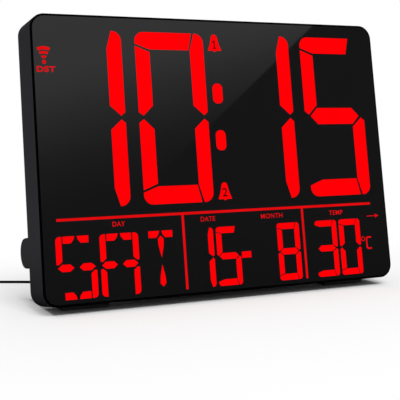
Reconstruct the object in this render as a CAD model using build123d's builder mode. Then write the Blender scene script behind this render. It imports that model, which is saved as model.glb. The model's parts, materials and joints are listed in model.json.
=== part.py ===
import os
from math import atan2, ceil, cos, pi, radians, sin, tan

from build123d import *

os.makedirs("parts", exist_ok=True)

# Case: a shallow box that leans back on wedge feet and a fold-out stand
case_width = 380.0
case_height = 270.0
case_depth = 42.0
case_tilt = 9.2
corner_radius = 14.0
wall = 2.6
rim = 2.0
front_edge = 0.8
rear_edge = 1.2
clearance = 0.2
overrun = 1.0

# Front stack: glossy panel, tape, diffuser film, reflector and light board
panel_thickness = 3.0
tape_thickness = 0.3
film_thickness = 0.5
reflector_depth = 8.0
ledge_thickness = 2.5
board_thickness = 1.6
window_side = 11.5
window_top = 11.5
window_bottom = 4.7
led_side = 2.4
led_height = 0.8
display_screw_shares = (0.25, 0.75)

# Large time digits
display_left = 15.5
display_right = 18.0
display_top = 14.8
digit_gap = 13.9
colon_space = 25.0
big_bar = 15.1
big_beam = 17.1
big_corner_share = 0.616
colon_width = 11.0
colon_height = 20.0
colon_round_share = 0.445
colon_up_shares = (0.36, 0.64)

# Divider lines and the lower row of letters and small digits
row_base = 6.0
row_height = 57.0
label_space = 15.0
divider_space = 10.0
divider_width = 2.5
figure_gap = 3.1
figure_bar = 5.75
figure_beam = 6.2
figure_corner_share = 0.54
dash_width = 10.4
dash_gap = 1.0
letter_gap = 3.7
letter_bar = 5.7
letter_beam = 6.4
letter_corner_share = 0.667
divider_place_shares = (0.372, 0.7245)
divider_end_shares = (0.041, 0.947)
figure_pitch_share = 0.0765
letter_pitch_share = 0.1108
row_left_shares = {"weekday": 0.0358, "date": 0.3858, "month": 0.6424, "temperature": 0.7608}

# Bar outlines: shares of cell width, bar width, cell height and beam height
digit_shares = {
    "a": [(0, 0, 1, 0), (1, -0.83, 1, 0), (1, -1.1, 1, -1), (0, 1, 1, -1), (0, 0, 1, -0.68)],
    "b": [(1, 0, 1, 0), (1, 0, 0.5, 0.3), (1, -0.27, 0.5, 0.1), (1, -1, 0.5, 0.67), (1, -1, 1, -1),
          (1, -0.66, 1, 0)],
    "f": [(0, 0, 1, -0.81), (0, 1, 1, -1.15), (0, 1, 0.5, 0.67), (0, 0.32, 0.5, 0.1), (0, 0, 0.5, 0.3)],
    "g": [(0, 0.45, 0.5, 0), (0, 1, 0.5, 0.5), (1, -1, 0.5, 0.5), (1, -0.45, 0.5, 0),
          (1, -1, 0.5, -0.5), (0, 1, 0.5, -0.5)],
}
letter_shares = {
    "a": [(0, 1.21, 1, 0), (0.5, -0.2, 1, 0), (0.5, -0.35, 1, -0.5), (0.5, -0.81, 1, -1), (0, 1.21, 1, -1)],
    "f": [(0, 0, 1, 0), (0, 1, 1, 0), (0, 1, 0.5, 0.96), (0, 0.4, 0.5, 0.5), (0, 0, 0.5, 0.55)],
    "g": [(0, 0.22, 0.5, 0), (0, 0.9, 0.5, 0.51), (0.5, -1.1, 0.5, 0.51), (0.5, -0.44, 0.5, 0),
          (0.5, -1.1, 0.5, -0.51), (0, 0.9, 0.5, -0.51)],
    "i": [(0.5, 0, 1, -0.72), (0.5, 0.52, 1, -1.2), (0.5, 0.45, 1, -2.2), (0.5, 0, 0.5, 0.5),
          (0.5, -0.45, 1, -2.2), (0.5, -0.52, 1, -1.2)],
}

# Rear cover, its screws and the posts that press the light board forward
cover_thickness = 3.0
boss_radius = 3.6
boss_inset = 6.4
boss_up_shares = (0.05, 0.62, 0.95)
screw_radius = 1.35
screw_hole_radius = 1.45
screw_head_radius = 2.9
screw_head_height = 1.6
screw_bite = 9.0
post_radius = 3.5
post_place_shares = [(-0.33, 0.62), (0.33, 0.62), (0.26, 0.16), (-0.43, 0.30)]
vent_length = 44.0
vent_width = 2.6
vent_pitch = 6.0
vent_count = 9
vent_across_share = 0.2
vent_up_share = 0.43

# Keyholes for wall screws
keyhole_spacing = 220.0
keyhole_drop = 46.0
keyhole_radius = 4.6
keyhole_slot = 4.4
keyhole_rise = 10.0

# Control board behind the cover
standoff_height = 8.0
standoff_radius = 3.4
main_left = -138.0
main_right = 8.0
main_base = 10.0
main_top = 114.0
main_inset = 5.0
jack_across = -120.0
jack_up = 22.0
jack_radius = 5.4
jack_bore = 2.85
jack_floor = 1.2
jack_pin = 1.0
jack_pin_drop = 1.0
chip_side = 12.0
chip_height = 1.5
radio_length = 22.0
radio_width = 16.0
radio_board = 1.0
radio_can_height = 2.2
radio_can_inset = 1.6
buzzer_radius = 6.0
buzzer_share = 0.52
buzzer_mouth = 1.2
buzzer_mouth_depth = 3.0
crystal_length = 11.0
crystal_width = 4.6
crystal_height = 3.5
capacitor_radius = 4.0
capacitor_share = 0.67
sensor_radius = 2.4
sensor_height = 5.0
header_length = 24.0
header_width = 5.0
header_share = 0.31
ribbon_width = 20.0
ribbon_thickness = 0.9
main_place_shares = {"chip": (0.45, 0.28), "radio": (0.80, 0.78), "buzzer": (0.20, 0.55),
                     "crystal": (0.45, 0.10), "capacitor": (0.30, 0.16), "sensor": (0.94, 0.20),
                     "header": (0.72, 0.45)}

# Push buttons and the switches under them
button_names = ("set", "up", "down", "alarm", "dimmer")
button_first = -122.0
button_pitch = 28.0
button_up = 99.0
button_radius = 4.5
button_proud = 1.3
button_edge = 0.6
button_flange = 5.8
button_flange_thickness = 1.0
button_stem = 1.7
button_travel = 0.6
button_gap = 0.3
button_rest_gap = 0.05
stem_reach = 0.4
switch_side = 7.0
switch_height = 3.6

# Back-up cell, its cup and the quarter-turn door over it
door_across = -50.0
door_up = 74.0
door_radius = 14.0
door_thickness = 1.9
door_gap = 0.3
door_seat_gap = 0.1
door_neck_radius = 11.4
door_lug_width = 5.0
door_lug_height = 1.1
door_lug_gap = 0.2
door_lug_reach = 2.0
door_turn = 45.0
coin_slot_length = 15.0
coin_slot_width = 2.0
coin_slot_depth = 0.9
cell_radius = 10.0
cell_height = 3.2
cup_wall = 1.2
cup_floor = 0.8
cup_lip = 0.6

# Stand: two rounded hinge pods, a steel shaft, the leg and its rubber pad
pod_width = 22.0
pod_inset = 1.5
pod_height = 29.0
pod_reach = 34.0
pod_up = 50.5
pod_edge = 2.2
pod_screw_offset = 7.0
pod_screw_bite = 6.0
shaft_radius = 2.5
shaft_seat = 14.0
shaft_fit = 0.05
leg_width = 170.0
leg_barrel = 6.0
leg_thickness = 5.0
leg_open = 23.0
leg_fit = 0.08
leg_rib_width = 4.0
leg_rib_height = 2.0
leg_rib_end_share = 0.86
leg_rib_shares = (-0.44, -0.15, 0.15, 0.44)
pad_radius = 4.0
pad_width = 160.0

# Wedge feet under the bottom edge
foot_rise = 1.5
foot_length = 46.0
foot_depth = 17.0
foot_inset = 24.0
foot_rear_gap = 2.0

# Lead: plug, strain relief, cord, coil, tie and far plug
cord_radius = 1.4
plug_barrel = 2.75
plug_barrel_bore = 1.15
plug_barrel_length = 9.0
plug_radius = 5.2
plug_length = 16.0
plug_edge = 1.0
plug_gap = 0.2
relief_radius = 3.7
relief_tip = 2.0
relief_length = 11.0
relief_groove = 0.5
relief_groove_width = 0.9
relief_groove_pitch = 2.0
relief_groove_count = 4
first_run = 14.0
floor_gap = 0.3
air_route = [(-0.6, 32.0, 8.6), (-1.5, 49.5, 2.5)]
floor_route = [(-2.5, 65.5), (-9.0, 80.5), (-28.5, 94.7)]
coil_route = [(-70.0, 113.4), (-92.6, 121.6)]
bend_share = 0.45
coil_middle_radius = 16.5
coil_step = 3.45
coil_rise = 3.45
coil_turns = 4.41
climb_turns = 0.5
tie_thickness = 0.45
tie_gap = 0.12
tie_width = 8.0
tie_turn = 0.62
usb_width = 15.6
usb_length = 25.0
usb_edge = 1.6
usb_relief_length = 18.0
usb_relief_radius = 3.4
usb_relief_tip = 1.8
shell_width = 12.0
shell_height = 4.5
shell_length = 12.0
shell_wall = 0.4
tongue_height = 1.8

# Derived places
tilt_sine = sin(radians(case_tilt))
tilt_cosine = cos(radians(case_tilt))
front_height = case_depth * tilt_sine + foot_rise
cover_front = case_depth - cover_thickness
hinge_depth = case_depth + pod_reach - pod_height / 2
hinge_back = pod_up * tilt_sine + hinge_depth * tilt_cosine
hinge_up = front_height + pod_up * tilt_cosine - hinge_depth * tilt_sine
leg_lean = radians(leg_open - case_tilt)
leg_length = (hinge_up - pad_radius) / cos(leg_lean)
rear_reaches = (
    (case_height - rear_edge) * tilt_sine + case_depth * tilt_cosine,
    hinge_back + pod_height / 2,
    hinge_back + leg_length * sin(leg_lean) + pad_radius,
)
front_back = -(front_edge * tilt_sine + max(rear_reaches)) / 2

front = Plane(
    origin=(0, front_back, front_height),
    x_dir=(1, 0, 0),
    z_dir=(0, -tilt_cosine, tilt_sine),
)
side = Plane(origin=front.origin, x_dir=(0, tilt_cosine, -tilt_sine), z_dir=(1, 0, 0))
rearward = Axis(front.origin, (0, tilt_cosine, -tilt_sine))

film_front = panel_thickness
reflector_front = film_front + film_thickness
led_board_front = reflector_front + reflector_depth
led_board_rear = led_board_front + board_thickness
ledge_front = panel_thickness + tape_thickness
ledge_rear = ledge_front + ledge_thickness
main_rear = cover_front - standoff_height
main_front = main_rear - board_thickness
bay_depth = main_front - led_board_rear
buzzer_height = bay_depth * buzzer_share
capacitor_height = bay_depth * capacitor_share
header_height = bay_depth * header_share
case_middle = case_height / 2

big_width = (case_width - display_left - display_right - 2 * digit_gap - colon_space) / 4
divider_up = row_base + row_height + label_space
big_base = divider_up + divider_space
big_height = case_height - display_top - big_base
big_corner = min(big_bar, big_beam) * big_corner_share
figure_corner = min(figure_bar, figure_beam) * figure_corner_share
letter_corner = min(letter_bar, letter_beam) * letter_corner_share
colon_round = min(colon_width, colon_height) * colon_round_share
hour_tens_left = display_left - case_width / 2
hour_ones_left = hour_tens_left + big_width + digit_gap
minute_tens_left = hour_ones_left + big_width + colon_space
minute_ones_left = minute_tens_left + big_width + digit_gap
colon_across = (hour_ones_left + big_width + minute_tens_left) / 2
colon_ups = [big_base + big_height * share for share in colon_up_shares]
figure_pitch = case_width * figure_pitch_share
figure_width = figure_pitch - figure_gap
letter_pitch = case_width * letter_pitch_share
letter_width = letter_pitch - letter_gap
row_lefts = {name: case_width * share - case_width / 2 for name, share in row_left_shares.items()}
date_ones_left = row_lefts["date"] + figure_pitch
dash_left = date_ones_left + figure_width + dash_gap
dash_place = (dash_left + dash_width / 2, row_base + row_height / 2)


def behind(depth):
    return front.offset(-depth)


def flipped_down(shares):
    return [(across, bar, 1 - up, -beam) for across, bar, up, beam in shares]


def flipped_across(shares):
    return [(1 - across, -bar, up, beam) for across, bar, up, beam in shares]


# Seven-bar digits: the lower bars mirror the upper ones
digit_bars = dict(digit_shares)
digit_bars["c"] = flipped_down(digit_shares["b"])
digit_bars["d"] = flipped_down(digit_shares["a"])
digit_bars["e"] = flipped_down(digit_shares["f"])

# Fourteen-bar letters: each quarter mirrors the upper left one
letter_bars = {
    "a1": letter_shares["a"], "a2": flipped_across(letter_shares["a"]),
    "d1": flipped_down(letter_shares["a"]), "d2": flipped_down(flipped_across(letter_shares["a"])),
    "f": letter_shares["f"], "b": flipped_across(letter_shares["f"]),
    "e": flipped_down(letter_shares["f"]), "c": flipped_down(flipped_across(letter_shares["f"])),
    "g1": letter_shares["g"], "g2": flipped_across(letter_shares["g"]),
    "i": letter_shares["i"], "l": flipped_down(letter_shares["i"]),
}
rounded_digit_bars = ("a", "b", "c", "d")
rounded_letter_bars = ("f", "b", "e", "c")
lit_digit_bars = {"0": "abcdef", "1": "bc", "3": "abcdg", "5": "acdfg", "8": "abcdefg"}
lit_letter_bars = {
    "S": ("a1", "a2", "f", "g1", "g2", "c", "d1", "d2"),
    "A": ("a1", "a2", "f", "b", "g1", "g2", "e", "c"),
    "T": ("a1", "a2", "i", "l"),
}


def bar_outlines(bars, lit, rounded, left, base, width, height, bar, beam, corner):
    outlines = []
    for name in lit:
        points = [
            (left + a * width + b * bar, base + c * height + d * beam) for a, b, c, d in bars[name]
        ]
        first_radius = corner if name in rounded else 0
        outlines.append((points, first_radius))
    return outlines


def big_digit(digit, left):
    return bar_outlines(digit_bars, lit_digit_bars[digit], rounded_digit_bars, left, big_base,
                        big_width, big_height, big_bar, big_beam, big_corner)


def figure_digit(digit, left):
    return bar_outlines(digit_bars, lit_digit_bars[digit], rounded_digit_bars, left, row_base,
                        figure_width, row_height, figure_bar, figure_beam, figure_corner)


def letter(name, left):
    return bar_outlines(letter_bars, lit_letter_bars[name], rounded_letter_bars, left, row_base,
                        letter_width, row_height, letter_bar, letter_beam, letter_corner)


def draw_bars(outlines, mode=Mode.ADD):
    for points, first_radius in outlines:
        radii = [first_radius] + [0] * (len(points) - 1)
        with BuildLine() as outline:
            FilletPolyline(*points, radius=radii, close=True)
        make_face(outline.edges(), mode=mode)


def draw_colon(mode=Mode.ADD):
    for up in colon_ups:
        with Locations((colon_across, up)):
            RectangleRounded(colon_width, colon_height, colon_round, mode=mode)


def draw_dash(mode=Mode.ADD):
    with Locations(dash_place):
        Rectangle(dash_width, figure_beam, mode=mode)


def draw_dividers(mode=Mode.ADD):
    first_end, last_end = (case_width * share - case_width / 2 for share in divider_end_shares)
    with Locations(((first_end + last_end) / 2, divider_up)):
        Rectangle(last_end - first_end, divider_width, mode=mode)
    for share in divider_place_shares:
        with Locations((case_width * share - case_width / 2, (row_base + divider_up) / 2)):
            Rectangle(divider_width, divider_up - row_base, mode=mode)


hour_bars = big_digit("1", hour_tens_left) + big_digit("0", hour_ones_left)
minute_bars = big_digit("1", minute_tens_left) + big_digit("5", minute_ones_left)
weekday_bars = []
for place, name in enumerate("SAT"):
    weekday_bars += letter(name, row_lefts["weekday"] + place * letter_pitch)
date_bars = figure_digit("1", row_lefts["date"]) + figure_digit("5", date_ones_left)
date_bars += figure_digit("8", row_lefts["month"])
temperature_bars = figure_digit("3", row_lefts["temperature"])
temperature_bars += figure_digit("0", row_lefts["temperature"] + figure_pitch)
all_bars = hour_bars + minute_bars + weekday_bars + date_bars + temperature_bars


def draw_windows():
    draw_bars(all_bars, Mode.SUBTRACT)
    draw_colon(Mode.SUBTRACT)
    draw_dash(Mode.SUBTRACT)
    draw_dividers(Mode.SUBTRACT)


def keep(builder, name):
    builder.part.label = name
    export_step(builder.part, f"parts/{name}.step")


# Case frame with the front rim, the ledge behind the panel and the screw bosses
boss_across = case_width / 2 - boss_inset
boss_places = [
    (way * boss_across, case_height * share) for way in (-1, 1) for share in boss_up_shares
]
window_width = case_width - 2 * window_side
window_height = case_height - window_top - window_bottom
window_place = (0, window_bottom + window_height / 2)

with BuildPart() as front_housing:
    with BuildSketch(front):
        with Locations((0, case_middle)):
            RectangleRounded(case_width, case_height, corner_radius)
    extrude(amount=-case_depth)
    chamfer(front_housing.faces().sort_by(rearward)[0].edges(), front_edge)
    chamfer(front_housing.faces().sort_by(rearward)[-1].edges(), rear_edge)
    with BuildSketch(front):
        with Locations((0, case_middle)):
            RectangleRounded(case_width - 2 * rim, case_height - 2 * rim, corner_radius - rim)
    extrude(amount=-ledge_front, mode=Mode.SUBTRACT)
    with BuildSketch(front):
        with Locations(window_place):
            Rectangle(window_width, window_height)
    extrude(amount=-case_depth, mode=Mode.SUBTRACT)
    with BuildSketch(behind(ledge_rear)):
        with Locations((0, case_middle)):
            RectangleRounded(case_width - 2 * wall, case_height - 2 * wall, corner_radius - wall)
    extrude(amount=-case_depth, mode=Mode.SUBTRACT)
    with BuildSketch(behind(ledge_rear)):
        with Locations(*boss_places):
            Circle(boss_radius)
    extrude(amount=-(cover_front - ledge_rear))
    with BuildSketch(behind(cover_front)):
        with Locations(*boss_places):
            Circle(screw_hole_radius)
    extrude(amount=screw_bite + overrun, mode=Mode.SUBTRACT)
keep(front_housing, "front_housing")

# Glossy panel with a window for each lit bar
panel_width = case_width - 2 * rim - 2 * clearance
panel_height = case_height - 2 * rim - 2 * clearance
panel_radius = corner_radius - rim - clearance
with BuildPart() as front_panel:
    with BuildSketch(front):
        with Locations((0, case_middle)):
            RectangleRounded(panel_width, panel_height, panel_radius)
        draw_windows()
    extrude(amount=-panel_thickness)
keep(front_panel, "front_panel")

with BuildPart() as panel_tape:
    with BuildSketch(behind(panel_thickness)):
        with Locations((0, case_middle)):
            RectangleRounded(panel_width, panel_height, panel_radius)
        with Locations(window_place):
            Rectangle(window_width, window_height, mode=Mode.SUBTRACT)
    extrude(amount=-tape_thickness)
keep(panel_tape, "panel_tape")

# Red bars that fill the windows flush with the panel
for name, bars in (
    ("hour_segments", hour_bars),
    ("minute_segments", minute_bars),
    ("weekday_segments", weekday_bars),
    ("date_segments", date_bars),
    ("temperature_segments", temperature_bars),
):
    with BuildPart() as segments:
        with BuildSketch(front):
            draw_bars(bars)
            if bars is date_bars:
                draw_dash()
        extrude(amount=-panel_thickness)
    keep(segments, name)

with BuildPart() as colon_segments:
    with BuildSketch(front):
        draw_colon()
    extrude(amount=-panel_thickness)
keep(colon_segments, "colon_segments")

with BuildPart() as divider_bars:
    with BuildSketch(front):
        draw_dividers()
    extrude(amount=-panel_thickness)
keep(divider_bars, "divider_bars")

# Diffuser film, reflector with a well behind each bar, and the light board
stack_width = window_width - 2 * clearance
stack_height = window_height - 2 * clearance
with BuildPart() as diffuser_film:
    with BuildSketch(behind(film_front)):
        with Locations(window_place):
            Rectangle(stack_width, stack_height)
    extrude(amount=-film_thickness)
keep(diffuser_film, "diffuser_film")

with BuildPart() as light_reflector:
    with BuildSketch(behind(reflector_front)):
        with Locations(window_place):
            Rectangle(stack_width, stack_height)
        draw_windows()
    extrude(amount=-reflector_depth)
keep(light_reflector, "light_reflector")

display_screw_places = [
    (left - digit_gap / 2, big_base + big_height * share)
    for left in (hour_ones_left, minute_ones_left)
    for share in display_screw_shares
]
with BuildPart() as led_board:
    with BuildSketch(behind(led_board_front)):
        with Locations(window_place):
            Rectangle(stack_width, stack_height)
        with Locations(*display_screw_places):
            Circle(screw_hole_radius, mode=Mode.SUBTRACT)
    extrude(amount=-board_thickness)
keep(led_board, "led_board")

led_places = [(colon_across, up) for up in colon_ups] + [dash_place]
for points, corner in all_bars:
    middle_across = sum(point[0] for point in points) / len(points)
    middle_up = sum(point[1] for point in points) / len(points)
    led_places.append((middle_across, middle_up))
with BuildPart() as leds:
    with BuildSketch(behind(led_board_front)):
        with Locations(*led_places):
            Rectangle(led_side, led_side)
    extrude(amount=led_height)
keep(leds, "leds")

with BuildPart() as display_screws:
    with BuildSketch(behind(led_board_rear)):
        with Locations(*display_screw_places):
            Circle(screw_head_radius)
    extrude(amount=-screw_head_height)
    with BuildSketch(behind(led_board_rear)):
        with Locations(*display_screw_places):
            Circle(screw_radius)
    extrude(amount=board_thickness)
keep(display_screws, "display_screws")

# Rear cover with standoffs, posts, vents, keyholes and the holes for what passes through it
main_width = main_right - main_left
main_height = main_top - main_base
main_centre = ((main_left + main_right) / 2, (main_base + main_top) / 2)
standoff_places = [
    (across, up)
    for across in (main_left + main_inset, main_right - main_inset)
    for up in (main_base + main_inset, main_top - main_inset)
]
post_places = [(case_width * a, case_height * b) for a, b in post_place_shares]
button_places = [(button_first + place * button_pitch, button_up) for place in range(len(button_names))]
jack_place = (jack_across, jack_up)
door_place = (door_across, door_up)
pod_middle = case_width / 2 - pod_inset - pod_width / 2
pod_screw_places = [
    (way * pod_middle, pod_up + rise) for way in (-1, 1) for rise in (-pod_screw_offset, pod_screw_offset)
]
keyhole_places = [
    (way * keyhole_spacing / 2, case_height - keyhole_drop) for way in (-1, 1)
]
keyhole_slot_places = [(across, up + keyhole_rise / 2) for across, up in keyhole_places]
vent_places = [
    (case_width * vent_across_share, case_height * vent_up_share + (place - vent_count // 2) * vent_pitch)
    for place in range(vent_count)
]
cover_gap = wall + clearance
door_recess = door_thickness + door_seat_gap
lug_radius = door_neck_radius + door_lug_reach

with BuildPart() as rear_cover:
    with BuildSketch(behind(cover_front)):
        with Locations((0, case_middle)):
            RectangleRounded(case_width - 2 * cover_gap, case_height - 2 * cover_gap,
                             corner_radius - cover_gap)
    extrude(amount=-cover_thickness)
    with BuildSketch(behind(cover_front)):
        with Locations(*standoff_places):
            Circle(standoff_radius)
    extrude(amount=standoff_height)
    with BuildSketch(behind(cover_front)):
        with Locations(*post_places):
            Circle(post_radius)
    extrude(amount=cover_front - led_board_rear)
    with BuildSketch(behind(cover_front)):
        with Locations(*boss_places, *pod_screw_places):
            Circle(screw_hole_radius)
        with Locations(*button_places):
            Circle(button_radius + button_gap)
        with Locations(jack_place):
            Circle(jack_radius + clearance)
        with Locations(door_place):
            Circle(door_neck_radius + door_gap)
        with Locations(Location((door_across, door_up), door_turn)):
            Rectangle(2 * (lug_radius + door_gap), door_lug_width + 2 * door_gap)
        with Locations(*keyhole_places):
            Circle(keyhole_radius)
        with Locations(*keyhole_slot_places):
            SlotOverall(keyhole_rise + keyhole_slot, keyhole_slot, rotation=90)
        with Locations(*vent_places):
            SlotOverall(vent_length, vent_width)
    extrude(amount=-cover_thickness, mode=Mode.SUBTRACT)
    with BuildSketch(behind(case_depth)):
        with Locations(*boss_places):
            Circle(screw_head_radius + clearance)
    extrude(amount=screw_head_height, mode=Mode.SUBTRACT)
    with BuildSketch(behind(case_depth)):
        with Locations(door_place):
            Circle(door_radius + door_gap)
    extrude(amount=door_recess, mode=Mode.SUBTRACT)
    with BuildSketch(behind(main_rear)):
        with Locations(*standoff_places):
            Circle(screw_hole_radius)
    extrude(amount=-standoff_height, mode=Mode.SUBTRACT)
keep(rear_cover, "rear_cover")

with BuildPart() as cover_screws:
    with BuildSketch(behind(case_depth)):
        with Locations(*boss_places):
            Circle(screw_head_radius)
    extrude(amount=screw_head_height)
    with BuildSketch(behind(case_depth - screw_head_height)):
        with Locations(*boss_places):
            Circle(screw_radius)
    extrude(amount=cover_thickness - screw_head_height + screw_bite)
keep(cover_screws, "cover_screws")

# Control board and what stands on it
with BuildPart() as main_board:
    with BuildSketch(behind(main_front)):
        with Locations(main_centre):
            Rectangle(main_width, main_height)
        with Locations(*standoff_places):
            Circle(screw_hole_radius, mode=Mode.SUBTRACT)
    extrude(amount=-board_thickness)
keep(main_board, "main_board")

with BuildPart() as board_screws:
    with BuildSketch(behind(main_front)):
        with Locations(*standoff_places):
            Circle(screw_head_radius)
    extrude(amount=screw_head_height)
    with BuildSketch(behind(main_front)):
        with Locations(*standoff_places):
            Circle(screw_radius)
    extrude(amount=-(board_thickness + standoff_height - overrun))
keep(board_screws, "board_screws")

main_places = {
    name: (main_left + main_width * a, main_base + main_height * b)
    for name, (a, b) in main_place_shares.items()
}

with BuildPart() as controller_chip:
    with BuildSketch(behind(main_front)):
        with Locations(main_places["chip"]):
            Rectangle(chip_side, chip_side)
    extrude(amount=chip_height)
keep(controller_chip, "controller_chip")

with BuildPart() as radio_module:
    with BuildSketch(behind(main_front)):
        with Locations(main_places["radio"]):
            Rectangle(radio_length, radio_width)
    extrude(amount=radio_board)
    with BuildSketch(behind(main_front - radio_board)):
        with Locations(main_places["radio"]):
            Rectangle(radio_length - 2 * radio_can_inset, radio_width - 2 * radio_can_inset)
    extrude(amount=radio_can_height)
keep(radio_module, "radio_module")

with BuildPart() as buzzer:
    with BuildSketch(behind(main_front)):
        with Locations(main_places["buzzer"]):
            Circle(buzzer_radius)
    extrude(amount=buzzer_height)
    with BuildSketch(behind(main_front - buzzer_height)):
        with Locations(main_places["buzzer"]):
            Circle(buzzer_mouth)
    extrude(amount=-buzzer_mouth_depth, mode=Mode.SUBTRACT)
keep(buzzer, "buzzer")

with BuildPart() as timing_crystal:
    with BuildSketch(behind(main_front)):
        with Locations(main_places["crystal"]):
            SlotOverall(crystal_length, crystal_width)
    extrude(amount=crystal_height)
keep(timing_crystal, "timing_crystal")

with BuildPart() as supply_capacitor:
    with BuildSketch(behind(main_front)):
        with Locations(main_places["capacitor"]):
            Circle(capacitor_radius)
    extrude(amount=capacitor_height)
keep(supply_capacitor, "supply_capacitor")

with BuildPart() as temperature_sensor:
    with BuildSketch(behind(main_front)):
        with Locations(main_places["sensor"]):
            Circle(sensor_radius)
    extrude(amount=sensor_height)
    fillet(temperature_sensor.faces().sort_by(rearward)[0].edges(), sensor_radius / 2)
keep(temperature_sensor, "temperature_sensor")

with BuildPart() as ribbon_headers:
    with BuildSketch(behind(led_board_rear)):
        with Locations(main_places["header"]):
            Rectangle(header_length, header_width)
    extrude(amount=-header_height)
    with BuildSketch(behind(main_front)):
        with Locations(main_places["header"]):
            Rectangle(header_length, header_width)
    extrude(amount=header_height)
keep(ribbon_headers, "ribbon_headers")

with BuildPart() as ribbon_cable:
    with BuildSketch(behind(led_board_rear + header_height)):
        with Locations(main_places["header"]):
            Rectangle(ribbon_width, ribbon_thickness)
    extrude(amount=-(bay_depth - 2 * header_height))
keep(ribbon_cable, "ribbon_cable")

with BuildPart() as dc_jack:
    with BuildSketch(behind(main_rear)):
        with Locations(jack_place):
            Circle(jack_radius)
    extrude(amount=-(case_depth - main_rear))
    with BuildSketch(behind(case_depth)):
        with Locations(jack_place):
            Circle(jack_bore)
            Circle(jack_pin, mode=Mode.SUBTRACT)
    extrude(amount=case_depth - main_rear - jack_floor, mode=Mode.SUBTRACT)
    with BuildSketch(behind(case_depth)):
        with Locations(jack_place):
            Circle(jack_pin)
    extrude(amount=jack_pin_drop, mode=Mode.SUBTRACT)
keep(dc_jack, "dc_jack")

# Switches on the board and the caps that push them through the cover
switch_rear = main_rear + switch_height
stem_bore_depth = stem_reach + button_travel + button_gap
with BuildPart() as tact_switches:
    with BuildSketch(behind(main_rear)):
        with Locations(*button_places):
            Rectangle(switch_side, switch_side)
    extrude(amount=-switch_height)
    with BuildSketch(behind(switch_rear)):
        with Locations(*button_places):
            Circle(button_stem + button_gap)
    extrude(amount=stem_bore_depth, mode=Mode.SUBTRACT)
keep(tact_switches, "tact_switches")

flange_rear = cover_front - button_rest_gap
flange_front = flange_rear - button_flange_thickness
cap_rear = case_depth + button_proud
for name, place in zip(button_names, button_places):
    with BuildPart() as button:
        with BuildSketch(behind(flange_rear)):
            with Locations(place):
                Circle(button_flange)
        extrude(amount=button_flange_thickness)
        with BuildSketch(behind(flange_rear)):
            with Locations(place):
                Circle(button_radius)
        extrude(amount=-(cap_rear - flange_rear))
        fillet(button.faces().sort_by(rearward)[-1].edges(), button_edge)
        with BuildSketch(behind(flange_front)):
            with Locations(place):
                Circle(button_stem)
        extrude(amount=flange_front - switch_rear + stem_reach)
    keep(button, f"{name}_button")

# Back-up cell in its cup and the quarter-turn door
with BuildPart() as cell_cup:
    with BuildSketch(behind(main_rear)):
        with Locations(door_place):
            Circle(cell_radius + clearance + cup_wall)
    extrude(amount=-(cup_floor + cell_height + cup_lip))
    with BuildSketch(behind(main_rear + cup_floor)):
        with Locations(door_place):
            Circle(cell_radius + clearance)
    extrude(amount=-(cell_height + cup_lip), mode=Mode.SUBTRACT)
keep(cell_cup, "cell_cup")

with BuildPart() as coin_cell:
    with BuildSketch(behind(main_rear + cup_floor)):
        with Locations(door_place):
            Circle(cell_radius)
    extrude(amount=-cell_height)
keep(coin_cell, "coin_cell")

lug_rear = cover_front - door_lug_gap
with BuildPart() as battery_door:
    with BuildSketch(behind(case_depth)):
        with Locations(door_place):
            Circle(door_radius)
    extrude(amount=door_thickness)
    with BuildSketch(behind(case_depth - door_thickness)):
        with Locations(door_place):
            Circle(door_neck_radius)
    extrude(amount=cover_thickness - door_thickness + door_lug_gap + door_lug_height)
    with BuildSketch(behind(lug_rear)):
        with Locations(door_place):
            Rectangle(2 * lug_radius, door_lug_width)
    extrude(amount=door_lug_height)
    with BuildSketch(behind(case_depth)):
        with Locations(door_place):
            SlotOverall(coin_slot_length, coin_slot_width)
    extrude(amount=coin_slot_depth, mode=Mode.SUBTRACT)
keep(battery_door, "battery_door")

# Hinge pods on the cover, their screws and the shaft between them
pod_round = pod_height / 2
pod_flat_end = case_depth + pod_reach - pod_round
shaft_length = case_width - 2 * (pod_inset + pod_width - shaft_seat)
for name, way in (("hinge_pod_left", -1), ("hinge_pod_right", 1)):
    outer = way * (case_width / 2 - pod_inset)
    inner = outer - way * pod_width
    with BuildPart() as pod:
        with BuildSketch(side.offset(min(outer, inner))):
            with BuildLine():
                Polyline(
                    (pod_flat_end, pod_up - pod_round),
                    (case_depth, pod_up - pod_round),
                    (case_depth, pod_up + pod_round),
                    (pod_flat_end, pod_up + pod_round),
                )
                ThreePointArc(
                    (pod_flat_end, pod_up + pod_round),
                    (pod_flat_end + pod_round, pod_up),
                    (pod_flat_end, pod_up - pod_round),
                )
            make_face()
        extrude(amount=pod_width)
        for end in (0, -1):
            end_edges = pod.faces().sort_by(Axis.X)[end].edges()
            fillet(end_edges.sort_by(rearward)[1:], pod_edge)
        with BuildSketch(side.offset(inner)):
            with Locations((hinge_depth, pod_up)):
                Circle(shaft_radius + shaft_fit)
        extrude(amount=way * (shaft_seat + overrun), mode=Mode.SUBTRACT)
        with BuildSketch(behind(case_depth)):
            with Locations(*[place for place in pod_screw_places if place[0] * way > 0]):
                Circle(screw_hole_radius)
        extrude(amount=-(pod_screw_bite + overrun), mode=Mode.SUBTRACT)
    keep(pod, name)

with BuildPart() as pod_screws:
    with BuildSketch(behind(cover_front)):
        with Locations(*pod_screw_places):
            Circle(screw_head_radius)
    extrude(amount=screw_head_height)
    with BuildSketch(behind(cover_front)):
        with Locations(*pod_screw_places):
            Circle(screw_radius)
    extrude(amount=-(cover_thickness + pod_screw_bite))
keep(pod_screws, "pod_screws")

with BuildPart() as stand_shaft:
    with BuildSketch(side.offset(-shaft_length / 2)):
        with Locations((hinge_depth, pod_up)):
            Circle(shaft_radius)
    extrude(amount=shaft_length)
keep(stand_shaft, "stand_shaft")

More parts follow.
